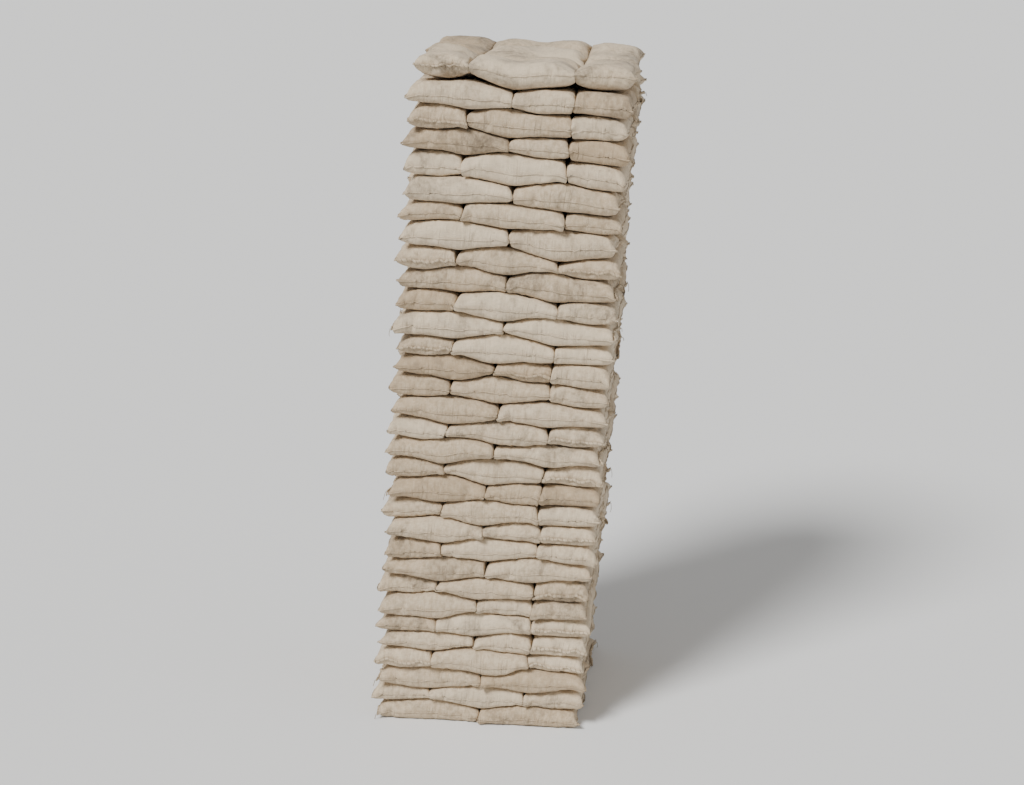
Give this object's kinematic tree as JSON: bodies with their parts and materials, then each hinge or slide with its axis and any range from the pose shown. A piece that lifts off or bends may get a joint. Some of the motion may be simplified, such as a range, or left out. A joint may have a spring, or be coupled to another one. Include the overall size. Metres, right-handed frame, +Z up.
{
  "type": "stack of sacks",
  "caption": "Tall free-standing stack of filled, sewn jute sacks laid in interlocking courses, with bulging fronts, pointed ears and a slight lean.",
  "frame": {"origin": "under the middle of the stack's bounding box, on the floor that the lowest course lies on", "axes": "+Z up, +Y from the front (the face that the picture shows) to the back, +X to the right, the way the stack leans"},
  "size_m": [2.1385, 1.7874, 5.6356],
  "materials": {
    "jute": "coarse woven, dusty, matt"
  },
  "bodies": {
    "root": {"sack_course_01": "jute", "sack_course_02": "jute", "sack_course_03": "jute", "sack_course_04": "jute", "sack_course_05": "jute", "sack_course_06": "jute", "sack_course_07": "jute", "sack_course_08": "jute", "sack_course_09": "jute", "sack_course_10": "jute", "sack_course_11": "jute", "sack_course_12": "jute", "sack_course_13": "jute", "sack_course_14": "jute", "sack_course_15": "jute", "sack_course_16": "jute", "sack_course_17": "jute", "sack_course_18": "jute", "sack_course_19": "jute", "sack_course_20": "jute", "sack_course_21": "jute", "sack_course_22": "jute", "sack_course_23": "jute", "sack_course_24": "jute", "sack_course_25": "jute", "sack_course_26": "jute", "sack_course_27": "jute", "sack_course_28": "jute", "sack_course_29": "jute", "sack_course_30": "jute", "sack_course_31": "jute", "sack_course_32": "jute"}
  },
  "joints": []
}
